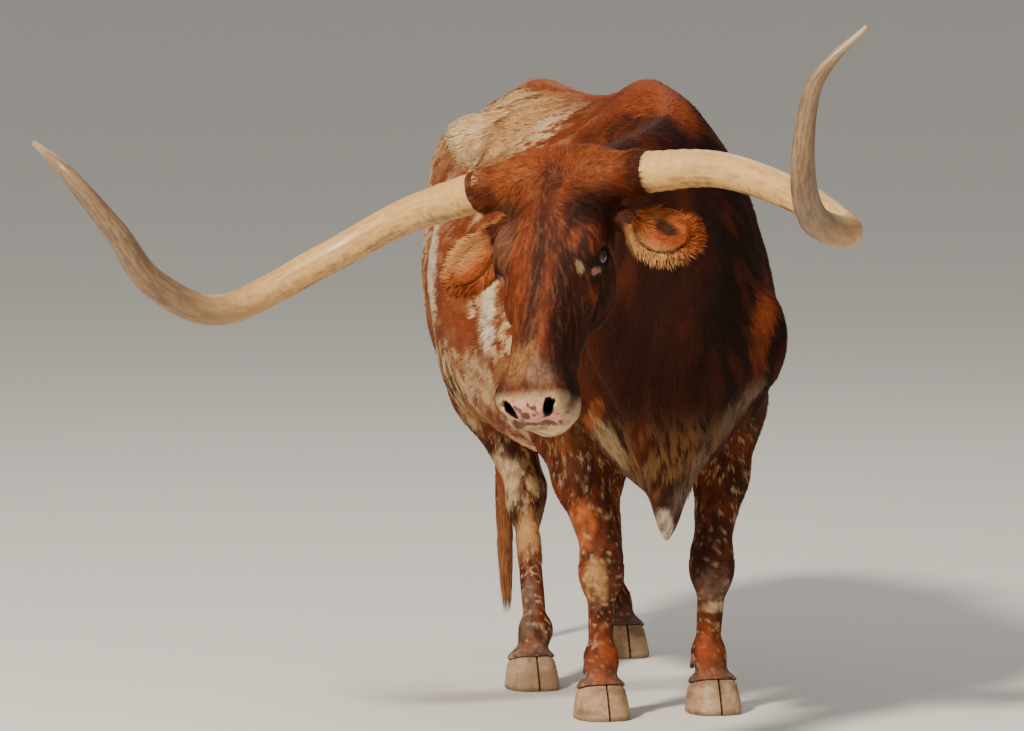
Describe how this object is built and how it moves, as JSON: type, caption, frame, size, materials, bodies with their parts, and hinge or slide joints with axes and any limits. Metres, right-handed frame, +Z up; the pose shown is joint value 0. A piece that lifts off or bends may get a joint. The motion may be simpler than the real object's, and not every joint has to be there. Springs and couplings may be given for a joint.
{
  "type": "texas longhorn steer",
  "caption": "Life-size standing longhorn steer, head turned to its right, with long horns that sweep out, ahead and up, a brisket fold and a hanging tail switch",
  "frame": {"origin": "on the floor, under the middle of the bounding box", "axes": "+Z up; the body faces -Y, its left side is +X, and the head turns toward -X"},
  "size_m": [1.905, 3.2935, 1.6735],
  "materials": {
    "hide": "short flat red-brown coat with dark brindle on face, neck and shoulders, cream roan on back and flanks",
    "horn": "ivory at the base, tan to grey-brown toward the tips, fine lengthwise streaks, half gloss",
    "hoof": "grey-tan horn, dusty, with faint growth rings",
    "eye": "wet, dark brown, nearly black",
    "switch_hair": "long loose hair, brown with tan tips"
  },
  "bodies": {
    "root": {"torso": "hide", "neck": "hide", "head": "hide", "tail": "hide", "tail_switch": "switch_hair", "ear_left": "hide", "eye_left": "eye", "horn_left": "horn", "fore_leg_upper_left": "hide", "fore_leg_lower_left": "hide", "fore_hoof_left_outer": "hoof", "fore_hoof_left_inner": "hoof", "hind_leg_upper_left": "hide", "hind_leg_lower_left": "hide", "hind_hoof_left_outer": "hoof", "hind_hoof_left_inner": "hoof", "ear_right": "hide", "eye_right": "eye", "horn_right": "horn", "fore_leg_upper_right": "hide", "fore_leg_lower_right": "hide", "fore_hoof_right_outer": "hoof", "fore_hoof_right_inner": "hoof", "hind_leg_upper_right": "hide", "hind_leg_lower_right": "hide", "hind_hoof_right_outer": "hoof", "hind_hoof_right_inner": "hoof"}
  },
  "joints": []
}
